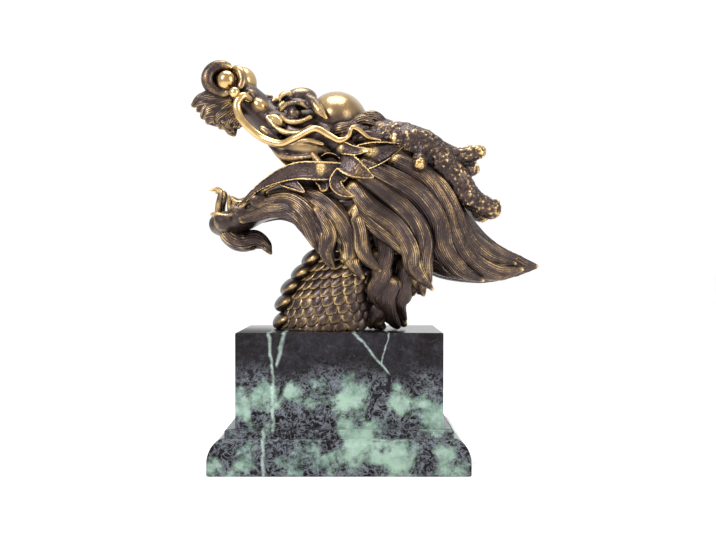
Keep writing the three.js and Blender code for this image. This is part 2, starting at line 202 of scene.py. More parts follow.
def curve(points, t):
    """Places and directions at t, from 0 to 1, on the centripetal Catmull-Rom through the points."""
    p = np.array(points, float)
    p = np.vstack([2 * p[0] - p[1], p, 2 * p[-1] - p[-2]])
    reached = np.clip(t, 0, 1) * (len(points) - 1)
    i = np.minimum(reached.astype(int), len(points) - 2)
    w = (reached - i)[:, None]
    p0, p1, p2, p3 = (p[i + k] for k in range(4))
    d0, d1, d2 = (
        np.maximum(np.linalg.norm(b - a, axis=1), TINY)[:, None] ** 0.5
        for a, b in ((p0, p1), (p1, p2), (p2, p3))
    )
    m1 = ((p1 - p0) / d0 - (p2 - p0) / (d0 + d1) + (p2 - p1) / d1) * d1
    m2 = ((p2 - p1) / d1 - (p3 - p1) / (d1 + d2) + (p3 - p2) / d2) * d1
    c2 = 3 * (p2 - p1) - 2 * m1 - m2
    c3 = 2 * (p1 - p2) + m1 + m2
    place = p1 + m1 * w + c2 * w**2 + c3 * w**3
    direction = m1 + 2 * c2 * w + 3 * c3 * w**2
    return place, direction / np.linalg.norm(direction, axis=1, keepdims=True)


LEAST_DIP = 0.9  # a smooth run dips no lower than this share of the smaller value beside it


def along(values, t):
    """A smooth run through values that are spread evenly over t."""
    v = np.array(values, float)
    reached = np.clip(t, 0, 1) * (len(v) - 1)
    i = np.minimum(reached.astype(int), len(v) - 2)
    w = reached - i
    slope = np.gradient(v)
    a, b = v[i], v[i + 1]
    c2 = 3 * (b - a) - 2 * slope[i] - slope[i + 1]
    c3 = 2 * (a - b) + slope[i] + slope[i + 1]
    return np.clip(a + slope[i] * w + c2 * w**2 + c3 * w**3, np.minimum(a, b) * LEAST_DIP, None)


def flankward(places):
    """Straight out of the near flank."""
    return np.tile([0.0, -1.0, 0.0], (len(places), 1))


SKULL_MIDDLE = np.array([0.0, 0.0, 262.0])


def skullward(places):
    """Away from the middle of the skull."""
    return places - SKULL_MIDDLE


def maneward(places):
    """Away from the line that the mane is wrapped round."""
    best = np.full(len(places), np.inf)
    away = np.zeros_like(places)
    for a, b in zip(MANE_LINE[:-1], MANE_LINE[1:]):
        share = np.clip((places - a) @ (b - a) / ((b - a) @ (b - a)), 0, 1)
        gap = places - (a + share[:, None] * (b - a))
        length = np.linalg.norm(gap, axis=1)
        nearer = length < best
        best[nearer] = length[nearer]
        away[nearer] = gap[nearer]
    return away


def round_section(across, out):
    return across, out


def dished(floor):
    """A leaf's section: its outer face sinks to a floor between two raised rims."""
    shoulder, rim_width, fall, fall_curve, back = 3.2, 0.42, 0.4, 1.5, 0.6

    def section(across, out):
        s = np.clip(out, 0, 1)
        sunk = (1 - floor) * np.clip((s - rim_width) / fall, 0, 1) ** fall_curve
        face = np.minimum(s * shoulder, 1) - sunk
        return across, np.where(out > 0, face, back * out)

    return section


# Spheres of unit radius by their columns and rings: a mesh to add from, and its points.
BALLS = {}


def ball(bm, columns, rings, shaped):
    """Adds a sphere of unit radius to the bmesh, with its points moved to shaped(points)."""
    if (columns, rings) not in BALLS:
        blank = bmesh.new()
        bmesh.ops.create_uvsphere(blank, u_segments=columns, v_segments=rings, radius=1)
        mesh = bpy.data.meshes.new("ball")
        blank.to_mesh(mesh)
        blank.free()
        unit = np.empty(len(mesh.vertices) * 3, np.float32)
        mesh.vertices.foreach_get("co", unit)
        BALLS[columns, rings] = mesh, unit.reshape(-1, 3).astype(float)
    mesh, unit = BALLS[columns, rings]
    mesh.vertices.foreach_set("co", shaped(unit).astype(np.float32).ravel())
    bm.from_mesh(mesh)


END_PACKING = 0.4  # how much the rings of a swept form gather at its two ends
LEAST_CAP = 0.3  # mm


def swept(bm, path, wide, thick, outward=flankward, columns=24, rings=40, section=round_section,
          relief=None, crowd=0.0):
    """Adds a body along a path: a sphere whose poles are the path's two ends.

    wide and thick are the half widths across the outward direction and along it. relief(t, share)
    is how far the skin stands proud at t along the path and share of the way round. crowd gathers
    the columns on the outer face.
    """
    even = np.arange(rings + 1) / rings
    t = (1 - END_PACKING) * even + END_PACKING * (1 - np.cos(math.pi * even)) / 2
    centre, tangent = curve(path, t)
    out = outward(centre)
    out -= tangent * np.sum(out * tangent, axis=1)[:, None]
    out /= np.linalg.norm(out, axis=1, keepdims=True)
    across = np.cross(tangent, out)
    w, h = along(wide, t), along(thick, t)
    run = np.concatenate([[0], np.cumsum(np.linalg.norm(np.diff(centre, axis=0), axis=1))])
    for reach, size in ((run, (w[0] + h[0]) / 2), (run[-1] - run, (w[-1] + h[-1]) / 2)):
        cap = np.sqrt(1 - (1 - np.clip(reach / max(size, LEAST_CAP), 0, 1)) ** 2)
        w, h = w * cap, h * cap

    def shaped(unit):
        ring = np.rint(np.arccos(np.clip(unit[:, 2], -1, 1)) / math.pi * rings).astype(int)
        share = np.arctan2(unit[:, 1], unit[:, 0]) / (2 * math.pi) - 0.25
        share = (share + 0.5) % 1 - 0.5  # 0 on the outer face, half a turn either way
        turn = 2 * math.pi * (share * (1 - crowd) + 4 * crowd * share**3) + math.pi / 2
        a, o = section(np.cos(turn), np.sin(turn))
        wide_here, high_here = w[ring][:, None], h[ring][:, None]
        place = centre[ring] + across[ring] * a[:, None] * wide_here + out[ring] * o[:, None] * high_here
        if relief:
            skin = across[ring] * np.cos(turn)[:, None] * high_here
            skin += out[ring] * np.sin(turn)[:, None] * wide_here
            skin /= np.maximum(np.linalg.norm(skin, axis=1, keepdims=True), TINY)
            place += skin * relief(t[ring], share)[:, None]
        poles = (ring == 0) | (ring == rings)
        place[poles] = centre[ring[poles]]
        return place

    ball(bm, columns, rings, shaped)


def middle(bm, form, **kind):
    """Adds a body on the plane of symmetry, from one of the tables above."""
    path = [(x, 0, z) for x, z in form["path"]]
    swept(bm, path, form["high"], form["half"], **kind)


def swelling(bm, at, radii, lean=0.0, columns=40, rings=24):
    """Adds an ellipsoid, leaning in the XZ plane."""
    c, s = math.cos(lean), math.sin(lean)
    turned = np.array([[c, 0, -s], [0, 1, 0], [s, 0, c]])
    ball(bm, columns, rings, lambda unit: (unit * radii) @ turned + at)


def paired_swellings(bm, rows):
    for at, radii, lean in rows:
        for points in both([at]):
            swelling(bm, points[0], radii, lean)


def both(points):
    """The points of a near-flank form, and the same on the other flank."""
    return [points, [(x, -y, z) for x, y, z in points]]


# ---------------------------------------------------------------- meshes and pieces


def finished(bm, name, material):
    """A piece of the object from a bmesh in millimetres."""
    bmesh.ops.scale(bm, vec=(MM, MM, MM), verts=bm.verts)
    bmesh.ops.recalc_face_normals(bm, faces=bm.faces)
    mesh = bpy.data.meshes.new(name)
    bm.to_mesh(mesh)
    bm.free()
    mesh.polygons.foreach_set("use_smooth", [True] * len(mesh.polygons))
    piece = bpy.data.objects.new(name, mesh)
    bpy.context.scene.collection.objects.link(piece)
    mesh.materials.append(material)
    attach(piece, "root")
    return piece


def melted(bm, voxel, rounds):
    """One skin over overlapping closed forms, with the creases between them softened."""
    mesh = bpy.data.meshes.new("melt")
    bm.to_mesh(mesh)
    bm.free()
    lump = bpy.data.objects.new("melt", mesh)
    bpy.context.scene.collection.objects.link(lump)
    skin = lump.modifiers.new("skin", "REMESH")
    skin.mode = "VOXEL"
    skin.voxel_size = voxel
    shown = lump.evaluated_get(bpy.context.evaluated_depsgraph_get())
    out = bmesh.new()
    out.from_mesh(shown.data)
    bpy.data.objects.remove(lump)
    bpy.data.meshes.remove(mesh)
    for _ in range(rounds):
        bmesh.ops.smooth_vert(out, verts=out.verts, factor=0.5, use_axis_x=True, use_axis_y=True,
                              use_axis_z=True)
    out.normal_update()
    return out


def displaced(bm, height):
    """Moves each vertex along its normal by height(place), in mm."""
    bm.normal_update()
    moves = [(v, v.normal * height(v.co)) for v in bm.verts]
    for v, move in moves:
        v.co += move


def grains(place, height, size):
    """Cast pits and beads, from -height to height."""
    near = noise.voronoi(place / size)[0]
    return height * (1 - 2 * min(near[0] * 1.25, 1))


# ---------------------------------------------------------------- hair


STRAND_PROFILE = np.array([0.0, 0.72, 1.0, 0.72])  # heights of one strand's columns
STRAND_HEIGHTS = (0.45, 1.3)  # least and most, as shares of the depth
WANDER, WANDER_TURNS = 0.16, 0.9  # how far and how often the clumps wander round a lock
ROOT_FADE, TIP_FADE = 0.06, 0.12  # shares of the length over which the relief runs out
CLUMP_LEVEL = 0.6
LOCK_CROWD = 0.45
LOCK_PITCH = 1.95  # mm between the rings of a lock


def strands(count, seed, depth=0.6, clumps=3, clump_depth=1.0):
    """Relief of a lock: fine strands, gathered in a few thicker clumps."""
    draw = np.random.default_rng(seed)
    proud = draw.uniform(*STRAND_HEIGHTS, count)
    wander_start, clump_start = draw.uniform(0, 1, 2)
    per_strand = len(STRAND_PROFILE)

    def relief(t, share):
        column = np.rint((share + 0.5) * count * per_strand).astype(int) % (count * per_strand)
        strand = proud[column // per_strand] * STRAND_PROFILE[column % per_strand]
        wander = WANDER * np.sin(2 * math.pi * (t * WANDER_TURNS + wander_start))
        wave = np.abs(np.sin(math.pi * (clumps * (share + wander) + clump_start)))
        fade = np.clip(t / ROOT_FADE, 0, 1) * np.clip((1 - t) / TIP_FADE, 0, 1)
        return fade * (depth * strand + clump_depth * (wave - CLUMP_LEVEL))

    return relief


def lock(bm, path, wide, thick, seed, count=20, rings=64, outward=maneward, **kind):
    swept(bm, path, wide, thick, outward, columns=count * len(STRAND_PROFILE), rings=rings,
          crowd=LOCK_CROWD, relief=strands(count, seed, **kind))


TUFT = [  # below the nose: a path, half widths and half heights
    ([(-90, -8, 306), (-104, -13, 307), (-116, -15, 305), (-126, -15, 300)],
     [8, 8, 6.5, 1.2], [6, 5, 4, 0.8]),
    ([(-90, -10, 301), (-102, -15, 297), (-111, -17, 294), (-118, -16, 290)],
     [9, 9, 7, 1.2], [6, 5, 4, 0.8]),
    ([(-88, -10, 300), (-97, -16, 293), (-103, -17, 288), (-104, -16, 284)],
     [8, 8, 5.5, 1.2], [6, 5, 4, 0.8]),
    ([(-86, -10, 298), (-92, -15, 292), (-95, -16, 285), (-92, -15, 278)],
     [7, 8, 5.5, 1.2], [6, 5, 4, 0.8]),
]
LOCKS = [  # along the jaw and down the front of the mane
    ([(-86, -16, 205), (-72, -23, 209), (-54, -30, 213), (-38, -34, 210), (-27, -38, 198), (-21, -40, 180)],
     [4, 6, 7, 8, 7, 1.2], [4, 5, 5, 6, 6, 1.2]),
    ([(-78, -19, 212), (-60, -26, 218), (-40, -35, 219), (-27, -42, 208), (-19, -44, 190), (-16, -42, 175)],
     [4, 6, 8, 9, 8, 1.2], [4, 5, 6, 7, 6, 1.2]),
    ([(-62, -22, 224), (-44, -30, 226), (-27, -38, 223), (-13, -46, 213), (-5, -49, 202), (-3, -48, 190)],
     [4, 5, 6, 7, 6, 1.2], [4, 4, 5, 6, 6, 1.2]),
    ([(-30, -34, 226), (-15, -42, 220), (0, -50, 205), (8, -52, 187), (10, -50, 170), (20, -48, 154)],
     [5, 7, 8, 8, 7, 1.2], [5, 7, 8, 7, 6, 1.2]),
    ([(-20, -42, 216), (-9, -50, 194), (-10, -48, 177), (-5, -46, 162)], [7, 8, 6, 1.2], [6, 7, 6, 1.2]),
    ([(-4, -46, 200), (3, -49, 184), (3, -48, 167)], [6, 6, 1.5], [6, 6, 1.5]),
    ([(12, -50, 214), (17, -55, 196), (20, -55, 176), (34, -50, 160)], [7, 7, 6, 1.2], [7, 8, 7, 1.2]),
    ([(8, -48, 234), (24, -56, 214), (45, -58, 198), (57, -54, 180), (61, -50, 164), (77, -42, 145)],
     [7, 8, 8, 8, 7, 1], [7, 9, 9, 8, 7, 1.2]),
    ([(10, -50, 216), (28, -55, 200), (44, -54, 188), (58, -50, 176), (66, -46, 160)],
     [7, 8, 8, 7, 1.2], [7, 8, 8, 7, 1.5]),
    ([(14, -50, 242), (42, -58, 221), (60, -58, 203), (68, -52, 186), (68, -47, 170), (75, -40, 150)],
     [7, 8, 8, 8, 8, 1.2], [7, 8, 8, 8, 7, 1.5]),
    ([(14, -50, 250), (42, -58, 236), (64, -57, 222), (79, -51, 202), (84, -44, 182), (98, -34, 164),
      (121, -24, 153)], [7, 8, 9, 9, 9, 8, 1.2], [7, 8, 8, 8, 8, 7, 1.5]),
    ([(40, -46, 252), (68, -50, 236), (84, -46, 214), (92, -40, 192), (106, -30, 172), (132, -18, 160),
      (156, -8, 163)], [8, 9, 9, 9, 9, 7, 1.2], [8, 8, 8, 8, 8, 6, 1.5]),
    ([(52, -44, 250), (80, -44, 230), (94, -38, 208), (104, -31, 189), (123, -22, 174), (150, -8, 167)],
     [9, 10, 10, 10, 9, 1.2], [8, 9, 9, 9, 7, 1.5]),
    ([(66, -26, 242), (88, -22, 220), (104, -16, 197), (120, -12, 181), (152, -5, 170)],
     [9, 9, 9, 8, 1.2], [8, 8, 8, 7, 1.5]),
    ([(64, -6, 244), (88, -5, 222), (106, -4, 198), (124, -3, 182), (158, -2, 168)],
     [9, 9, 9, 8, 1.2], [8, 8, 8, 7, 1.5]),
    # behind the neck
    ([(34, -44, 198), (38, -46, 178), (33, -43, 158), (40, -38, 140)], [8, 8, 7, 1.2], [7, 7, 6, 1.5]),
    ([(28, -44, 180), (36, -42, 162), (30, -40, 143), (38, -34, 127)], [7, 8, 7, 1.2], [6, 7, 6, 1.5]),
    ([(46, -42, 158), (38, -38, 140), (42, -30, 124), (50, -24, 113)], [8, 8, 7, 1.5], [7, 7, 6, 1.5]),
    ([(30, -34, 150), (36, -32, 134), (30, -28, 120), (38, -20, 113)], [7, 8, 7, 1.5], [6, 7, 6, 1.5]),
    ([(70, -40, 176), (64, -40, 156), (70, -34, 140)], [7, 7, 1.2], [7, 6, 1.2]),
    ([(56, -40, 184), (64, -38, 162), (60, -34, 140)], [9, 8, 1.2], [8, 8, 1.5]),
    ([(56, -34, 172), (52, -33, 150), (48, -30, 134), (55, -26, 119)], [11, 10, 9, 1.2], [8, 8, 6, 1.5]),
    ([(56, -12, 180), (48, -12, 155), (42, -12, 132), (56, -10, 114)], [12, 12, 11, 2], [10, 10, 9, 2]),
]


def make_mane(material):
    pieces = []
    for side, name in ((-1, "mane_near"), (1, "mane_far")):
        bm = bmesh.new()
        for i, (path, wide, thick) in enumerate(LOCKS):
            flank = both(path)[0 if side < 0 else 1]
            length = sum(math.dist(a, b) for a, b in zip(path, path[1:]))
            lock(bm, flank, wide, thick, seed=SEEDS["locks"] + 2 * i + side, rings=int(length / LOCK_PITCH))
        pieces.append(finished(bm, name, material))
    bm = bmesh.new()
    middle(bm, MANE, columns=320, rings=96,
           relief=strands(80, SEEDS["mane_core"], clumps=16, clump_depth=1.2))
    pieces.append(finished(bm, "mane_core", material))
    return pieces


# ---------------------------------------------------------------- head


def make_head(material):
    bm = bmesh.new()
    middle(bm, SKULL, columns=64, rings=64)
    for at, radii, lean in MIDDLE_SWELLINGS:
        swelling(bm, at, radii, lean)
    paired_swellings(bm, PAIRED_SWELLINGS)
    for path, radii in HEAD_ROLLS:
        for points in both(path):
            swept(bm, points, radii, radii, rings=60)
    for path in BRIDGE_FUR:
        for points in both(path):
            swept(bm, points, BRIDGE_WIDE, BRIDGE_THICK, rings=24)
    return finished(melted(bm, *HEAD_SKIN), "head", material)


def make_fur(material):
    bm = bmesh.new()
    for i, path in enumerate(NAPE_FUR):
        for points in both(path):
            lock(bm, points, NAPE_WIDE, NAPE_THICK, seed=SEEDS["nape_fur"] + i, count=10, rings=20,
                 outward=skullward, clump_depth=0.3)
    return finished(bm, "nape_fur", material)


def make_nostrils(material):
    bm = bmesh.new()
    for side in (1, -1):
        for (x, y, z), radii in NOSTRIL_BALLS:
            swelling(bm, (x, y * side, z), radii)
    return finished(bm, "nostrils", material)


def make_jaw(material):
    bm = bmesh.new()
    middle(bm, JAW, columns=56, rings=56)
    paired_swellings(bm, JAW_SWELLINGS)
    for points in both(LIP_ROLL):
        swept(bm, points, LIP_RADII, LIP_RADII, rings=70)
    return finished(melted(bm, *JAW_SKIN), "lower_jaw", material)


def make_teeth(material):
    bm = bmesh.new()
    for path, radii in TEETH:
        for points in both(path):
            swept(bm, points, radii, radii, columns=16, rings=30)
    return finished(bm, "teeth", material)


def make_tongue(material):
    bm = bmesh.new()
    middle(bm, TONGUE, columns=32, rings=48)
    return finished(bm, "tongue", material)


def make_goatee(material):
    bm = bmesh.new()
    middle(bm, GOATEE, columns=96, rings=60,
           relief=strands(24, SEEDS["goatee"], clumps=5, clump_depth=0.7))
    for i, (path, wide, thick) in enumerate(TUFT):
        for points in both(path):
            lock(bm, points, wide, thick, seed=SEEDS["tuft"] + i, count=16, rings=36, outward=flankward)
    return finished(bm, "tufts", material)


WHISKER = [
    (-74, -20, 304), (-81, -25, 307), (-86, -27, 300), (-84, -28, 291), (-78, -29, 283),
    (-65, -31, 272), (-48, -38, 266), (-36, -44, 270), (-20, -48, 277), (-8, -50, 271),
    (0, -52, 267), (7, -53, 270), (10, -54, 277), (15, -53, 276), (24, -53, 269), (34, -52, 267),
]
WHISKER_RADII = [2.4, 3.6, 3.7, 3.6, 3.5, 3.4, 3.3, 3.2, 3, 2.8, 2.6, 2.2, 2, 1.9, 1.6, 0.8]
WHISKER_LIFT, WHISKER_LIFT_END = 9, -10  # the far one is raised in front of this X


def make_whiskers(material):
    bm = bmesh.new()
    raised = []
    for x, y, z in WHISKER:
        share = min(max((WHISKER_LIFT_END - x) / (WHISKER_LIFT_END - WHISKER[0][0]), 0), 1)
        raised.append((x, -y, z + WHISKER_LIFT * share * share * (3 - 2 * share)))
    for path in (WHISKER, raised):
        swept(bm, path, WHISKER_RADII, WHISKER_RADII, columns=24, rings=160)
    return finished(bm, "whiskers", material)


LEAVES = [  # a path, half widths, half heights, and the floor's level between the rims
    # ear
    ([(6, -49, 251), (20, -56, 253), (36, -62, 257), (52, -67, 262)],
     [5, 11, 8.5, 0.8], [6, 6, 5, 1], -0.7),
    # spike, leaf, hook
    ([(2, -50, 261), (13, -58, 258), (26, -62, 259)], [6, 4, 0.9], [4, 4, 1.2], 0.55),
    ([(0, -50, 252), (12, -58, 244), (28, -62, 236)], [8, 8.5, 1], [5, 5, 1.2], 0.6),
    ([(4, -52, 242), (-3, -55, 233), (1, -58, 226), (12, -60, 221)],
     [7, 5.5, 4.4, 1], [5, 5, 4, 1.2], 0.55),
    # band along the lip, barb, lobe
    ([(6, -51, 242), (-14, -52, 242), (-38, -45, 242), (-66, -32, 231), (-86, -21, 214)],
     [6.5, 8, 7, 2.8, 1.6], [5, 6, 6, 4, 2.4], 0.6),
    ([(-48, -39, 237), (-38, -45, 232), (-28, -52, 225)], [6, 5, 1], [3, 4, 1.2], 0.6),
    ([(-16, -48, 237), (-13, -52, 231), (-13, -55, 225)], [6, 5, 3], [3, 4, 2.4], 0.6),
    # ring round the hollow behind the tusk
    ([(-17, -47, 249), (-8, -50, 249), (1, -49, 249)], [4, 8.5, 4], [3, 5, 3], -0.9),
]


def make_frills(material):
    bm = bmesh.new()
    for path, wide, thick, floor in LEAVES:
        for points in both(path):
            swept(bm, points, wide, thick, columns=64, rings=64, section=dished(floor))
    frills = melted(bm, *FRILL_SKIN)
    displaced(frills, lambda place: grains(place, *FRILL_PITS))
    return finished(frills, "ears_and_frills", material)


def bark(place):
    """Height of the horns' skin: rough lumps, small beads and broad swells."""
    height, size = HORN_LUMPS
    lumps = height * noise.fractal(place / size, 1.0, 2.2, 3)
    height, size = HORN_SWELLS
    return lumps + grains(place, *HORN_BEADS) + height * noise.noise(place / size)


def make_horns(material):
    bm = bmesh.new()
    for path, radii in HORN_LIMBS:
        for points in both(path):
            swept(bm, points, radii, radii, columns=32, rings=48)
    horns = melted(bm, *HORN_SKIN)
    displaced(horns, bark)
    return finished(horns, "horns", material)


# ---------------------------------------------------------------- neck


def neck_at(z):
    """Middle in X, half length and half width of the neck at a height."""
    return [np.interp(z, NECK[:, 0], NECK[:, k]) for k in (1, 2, 3)]


def neck_place(z, turn):
    centre, half_x, half_y = neck_at(z)
    x, y = math.cos(turn), math.sin(turn)
    return Vector((centre + half_x * x, half_y * y, z + SCALE["slope"] * x))


def neck_core(bm):
    """The skin under the scales: its lowest rings close over the seat and its highest are in the mane."""
    low, high = SEAT - 1, NECK[-1, 0]
    closing = 0.1  # share of the rings that close each end

    def shaped(unit):
        t = 1 - np.arccos(np.clip(unit[:, 2], -1, 1)) / math.pi
        level = low + (high - low) * np.clip((t - closing) / (1 - 2 * closing), 0, 1)
        reach = np.clip(t / closing, 0, 1) * np.clip((1 - t) / closing, 0, 1)
        turn = np.arctan2(unit[:, 1], unit[:, 0])
        return np.array([
            neck_place(z, a) * k + Vector((neck_at(z)[0], 0, z)) * (1 - k)
            for z, a, k in zip(level, turn, reach)
        ])

    ball(bm, 72, 40, shaped)


def scale_at(bm, level, turn):
    """One scale: a small shield, pointed below, keeled down its middle, standing out at its tip."""
    small_turn, small_rise = 0.02, 2
    here = neck_place(level, turn)
    side = (neck_place(level, turn + small_turn) - neck_place(level, turn - small_turn)).normalized()
    rise = (neck_place(level + small_rise, turn) - neck_place(level - small_rise, turn)).normalized()
    out = side.cross(rise).normalized()

    def shaped(unit):
        a, b, c = unit.T
        down = (1 - b) / 2  # 0 at the top, 1 at the tip
        full = np.sqrt(np.maximum(1 - c * c, TINY))
        square = np.sqrt(np.maximum(1 - np.abs(b / full) ** 2, 0))
        narrow = 1 + SCALE["point"] * (1 - square) * (down > 0.5)
        keel = SCALE["keel"] * np.exp(-((a * narrow) / SCALE["keel_width"]) ** 2) * (1 - np.abs(b) ** 3)
        slant = SCALE["proud"] * (SCALE["root"] + (1 - SCALE["root"]) * down) * SCALE["sunk"]
        lift = slant + np.where(c > 0, c * SCALE["crown"] + keel, c * SCALE["underside"])
        return (
            np.array(here)
            + np.outer(a * narrow * SCALE["width"] / 2, side)
            + np.outer(b * SCALE["length"] / 2, rise)
            + np.outer(lift, out)
        )

    ball(bm, 14, 8, shaped)


def make_neck(material):
    bm = bmesh.new()
    neck_core(bm)
    for row in range(SCALE["rows"]):
        level = SEAT + SCALE["first"] + SCALE["pitch"] * row
        for k in range(SCALE["around"]):
            scale_at(bm, level, 2 * math.pi * (k + 0.5 * (row % 2)) / SCALE["around"])
    for x, z in SCUTES:
        swelling(bm, (x, 0, z), SCUTE_RADII, SCUTE_LEAN)
    bmesh.ops.bisect_plane(bm, geom=bm.verts[:] + bm.edges[:] + bm.faces[:], plane_co=(0, 0, SEAT),
                           plane_no=(0, 0, -1), clear_outer=True)
    bmesh.ops.holes_fill(bm, edges=[e for e in bm.edges if e.is_boundary])
    return finished(bm, "neck", material)


# ---------------------------------------------------------------- shader maths


class Value:
    """A shader socket, so that a sum of sockets and numbers adds its own Math nodes."""

    def __init__(self, finish, socket):
        self.finish, self.socket = finish, socket

    def math(self, operation, *others):
        return self.finish.node("ShaderNodeMath", {"operation": operation}, self, *others)

    def __add__(self, other):
        return self.math("ADD", other)

    def __radd__(self, other):
        return self.math("ADD", other)

    def __sub__(self, other):
        return self.math("SUBTRACT", other)

    def __rsub__(self, other):
        return self.finish.node("ShaderNodeMath", {"operation": "SUBTRACT"}, other, self)

    def __mul__(self, other):
        return self.math("MULTIPLY", other)

    def __rmul__(self, other):
        return self.math("MULTIPLY", other)

    def __truediv__(self, other):
        return self.math("DIVIDE", other)

    def __pow__(self, other):
        return self.math("POWER", other)

    def abs(self):
        return self.math("ABSOLUTE")

    def max(self, other):
        return self.math("MAXIMUM", other)

    def min(self, other):
        return self.math("MINIMUM", other)

    def ramp(self, low, high):
        """0 below low, 1 above high, smooth between."""
        settings = {"interpolation_type": "SMOOTHSTEP"}
        return self.finish.node("ShaderNodeMapRange", settings, self, low, high, 0.0, 1.0)

    def swing(self, amount):
        """A noise from 0 to 1 made to swing about 0."""
        return (self - 0.5) * amount


def highest(values):
    top = values[0]
    for value in values[1:]:
        top = top.max(value)
    return top


class Finish:
    """A node material, with one method that adds any node."""

    def __init__(self, name):
        self.material = bpy.data.materials.new(name)
        self.material.use_nodes = True
        self.tree = self.material.node_tree
        self.shader = self.tree.nodes["Principled BSDF"]
        self.place = self.node("ShaderNodeTexCoord", output="Object")

    def node(self, kind, settings=None, *values, output=0, **named):
        node = self.tree.nodes.new(kind)
        for key, value in (settings or {}).items():
            setattr(node, key, value)
        for key, value in [*enumerate(values), *named.items()]:
            socket = node.inputs[key if isinstance(key, int) else key.replace("_", " ")]
            self.link(value, socket)
        return Value(self, node.outputs[output])

    def link(self, value, socket):
        if isinstance(value, Value):
            self.tree.links.new(value.socket, socket)
        else:
            socket.default_value = value

    def noise(self, scale, detail=3.0, rough=0.55, distort=0.0):
        return self.node("ShaderNodeTexNoise", {}, Vector=self.place, Scale=scale, Detail=detail,
                         Roughness=rough, Distortion=distort, output="Fac")

    def voronoi(self, scale):
        return self.node("ShaderNodeTexVoronoi", {"feature": "F1"}, Vector=self.place, Scale=scale,
                         output="Distance")

    def attribute(self, name):
        return self.node("ShaderNodeAttribute", {"attribute_name": name}, output="Fac")

    def mix(self, share, a, b):
        """Colour a where share is 0 and b where it is 1."""
        node = self.tree.nodes.new("ShaderNodeMix")
        node.data_type = "RGBA"
        self.link(share, node.inputs[0])
        self.link(a, node.inputs[6])
        self.link(b, node.inputs[7])
        return Value(self, node.outputs[2])

    def axis(self, name):
        return self.node("ShaderNodeSeparateXYZ", {}, self.place, output=name)

    def bump(self, height, distance, strength):
        return self.node("ShaderNodeBump", {}, Strength=strength, Distance=distance, Height=height,
                         output="Normal")

    def set(self, **sockets):
        for key, value in sockets.items():
            self.link(value, self.shader.inputs[key.replace("_", " ")])


def colour(red, green, blue):
    return (red, green, blue, 1.0)


# The darker and the lighter end of each colour.
PATINA = (colour(0.018, 0.011, 0.011), colour(0.058, 0.036, 0.029))
GOLD = (colour(0.36, 0.225, 0.090), colour(0.56, 0.39, 0.175))
STONE = (colour(0.003, 0.0015, 0.0015), colour(0.009, 0.007, 0.010))
LEAF = (colour(0.060, 0.105, 0.078), colour(0.19, 0.28, 0.21))
FLOOR = (colour(0.93, 0.93, 0.93), colour(0.95, 0.95, 0.95))
HOLLOW = colour(0.006, 0.004, 0.004)
THREAD = colour(0.23, 0.26, 0.29)
FLECK = colour(0.34, 0.44, 0.38)
VEIN = colour(0.36, 0.45, 0.40)


def bronze():
    """Brown patina, near black in the hollows and rubbed back to gold on the crests."""
    f = Finish("patinated_bronze")
    crest = f.attribute("crest")
    hollow = f.attribute("hollow")
    polish = f.attribute("polish")
    grain = f.attribute("grain")
    mottle = f.noise(scale=60.0, detail=4.0, rough=0.6)
    fine = f.noise(scale=700.0, detail=2.0, rough=0.6)
    rub = (crest * 1.1 + mottle.swing(0.9) + fine.swing(0.5)).ramp(0.3, 1.05)
    polished = (polish * (0.7 + mottle * 0.7)).ramp(0.15, 0.85)
    wear = rub.max(polished) * (1.0 - hollow * 0.9)
    shade = (mottle * 0.7 + fine * 0.3).ramp(0.3, 0.7)
    patina = f.mix(hollow.ramp(0.0, 0.75), f.mix(shade, *PATINA), HOLLOW)
    gold = f.mix(f.noise(scale=45.0).ramp(0.3, 0.7), *GOLD)
    beads = f.voronoi(scale=560.0)
    pits = f.noise(scale=1400.0, detail=2.0, rough=0.7)
    f.set(
        Base_Color=f.mix(wear, patina, gold),
        Metallic=0.86 + 0.14 * wear,
        Roughness=0.40 - 0.14 * polished + fine.swing(0.12) - 0.05 * wear,
        Normal=f.bump(beads * grain + pits * (0.12 + grain * 0.4), distance=0.0006, strength=0.5),
    )
    f.set(Coat_Weight=0.16, Coat_Roughness=0.2)
    return f.material


VEINS = [  # the stone's pale veins: a point in X and Z on the face, lean, half width, lowest and highest
    (-53, 60, -0.05, 1.3, 32, 130), (-46, 100, 0.2, 1.5, 84, 130), (24, 98, -0.85, 1.2, 78, 130),
    (37, 101, 0.18, 0.6, 84, 130), (-60, 14, -0.03, 1.3, -10, 36),
]
GREEN_CLOUDS = [  # middle in X and Z, and reach, in mm
    (10, 62, 17), (-22, 66, 13), (-38, 66, 9), (73, 48, 17), (-82, 50, 12), (48, 55, 9), (6, 40, 12),
    (-18, 10, 20), (40, 12, 22), (-72, 12, 14), (18, 27, 20), (-62, 66, 10), (84, 12, 12),
]
CLOUD_SWIRL, CLOUD_REACH = 34.0, 1.25
FRONT_FROM, FRONT_FADE = 40.0, 25.0  # how far to the front the green clouds start, in mm
GREEN_TOP, GREEN_FULL = 88.0, 66.0  # heights between which the stone turns from dark to green
VEIN_WIDTH = 1.6  # its soft edges, as a share of the half width


